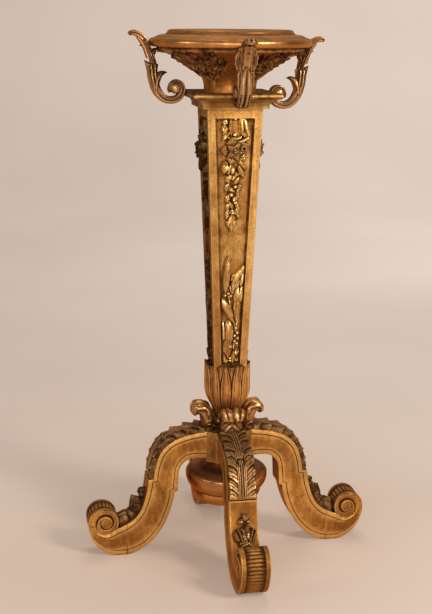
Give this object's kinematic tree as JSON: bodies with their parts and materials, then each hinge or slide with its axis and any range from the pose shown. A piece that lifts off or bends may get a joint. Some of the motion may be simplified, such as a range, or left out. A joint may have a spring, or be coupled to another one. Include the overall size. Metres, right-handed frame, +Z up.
{
  "type": "pedestal stand",
  "caption": "Tall carved and gilded wood pedestal: round top on a flared capital with scroll brackets, tapered square shaft, leafed cup and scroll feet.",
  "frame": {"origin": "centre of the footprint on the floor, under the shaft's axis", "axes": "+Z up along the shaft, one leg towards -Y (the front), one towards +X"},
  "size_m": [0.633, 0.633, 1.15],
  "materials": {
    "gilt_burnished": "burnished gilding toned brown, satin",
    "gilt_brown": "aged gilding over brown, satin",
    "gilt_frame": "aged water gilding, satin",
    "gilt_calyx": "aged gilding, satin",
    "gilt_dark": "worn gilding, dark in the recesses, satin",
    "gilt_leg": "aged oil gilding, matte",
    "gilt_copper": "gilding worn to the red ground, satin",
    "gilt_bracket": "aged gilding, satin",
    "gilt_carving": "burnished gilding with dark recesses",
    "bare_wood": "bare wood, matte"
  },
  "bodies": {
    "root": {"top_board": "gilt_burnished", "top_fillet": "gilt_brown", "bell_capital": "gilt_brown", "abacus_plate": "gilt_frame", "abacus_cove": "gilt_frame", "capital_dowel": "bare_wood", "shaft_top_block": "bare_wood", "shaft_foot_block": "bare_wood", "calyx_cup": "gilt_calyx", "neck_collar": "gilt_dark", "hub_block": "gilt_leg", "tie_dowel": "bare_wood", "leg_dowels": "bare_wood", "toe_dowels": "bare_wood", "pendant_flare": "gilt_copper", "pendant_disc": "gilt_copper", "pendant_knob": "gilt_copper", "bell_spray_front_right": "gilt_brown", "bell_spray_rear_right": "gilt_brown", "bell_spray_rear_left": "gilt_brown", "bell_spray_front_left": "gilt_brown", "bracket_front": "gilt_bracket", "bracket_right": "gilt_bracket", "bracket_rear": "gilt_bracket", "bracket_left": "gilt_bracket", "shaft_board_front": "gilt_frame", "shaft_board_right": "gilt_frame", "shaft_board_rear": "gilt_frame", "shaft_board_left": "gilt_frame", "flower_drop_front": "gilt_carving", "flower_drop_right": "gilt_carving", "flower_drop_rear": "gilt_carving", "flower_drop_left": "gilt_carving", "leaf_spray_front": "gilt_carving", "leaf_spray_right": "gilt_carving", "leaf_spray_rear": "gilt_carving", "leaf_spray_left": "gilt_carving", "leg_front": "gilt_leg", "leg_right": "gilt_leg", "leg_rear": "gilt_leg", "leg_left": "gilt_leg", "toe_front": "gilt_leg", "toe_right": "gilt_leg", "toe_rear": "gilt_leg", "toe_left": "gilt_leg", "knee_leaf_front": "gilt_dark", "knee_leaf_right": "gilt_dark", "knee_leaf_rear": "gilt_dark", "knee_leaf_left": "gilt_dark", "shin_husk_front": "gilt_dark", "shin_husk_right": "gilt_dark", "shin_husk_rear": "gilt_dark", "shin_husk_left": "gilt_dark"}
  },
  "joints": []
}
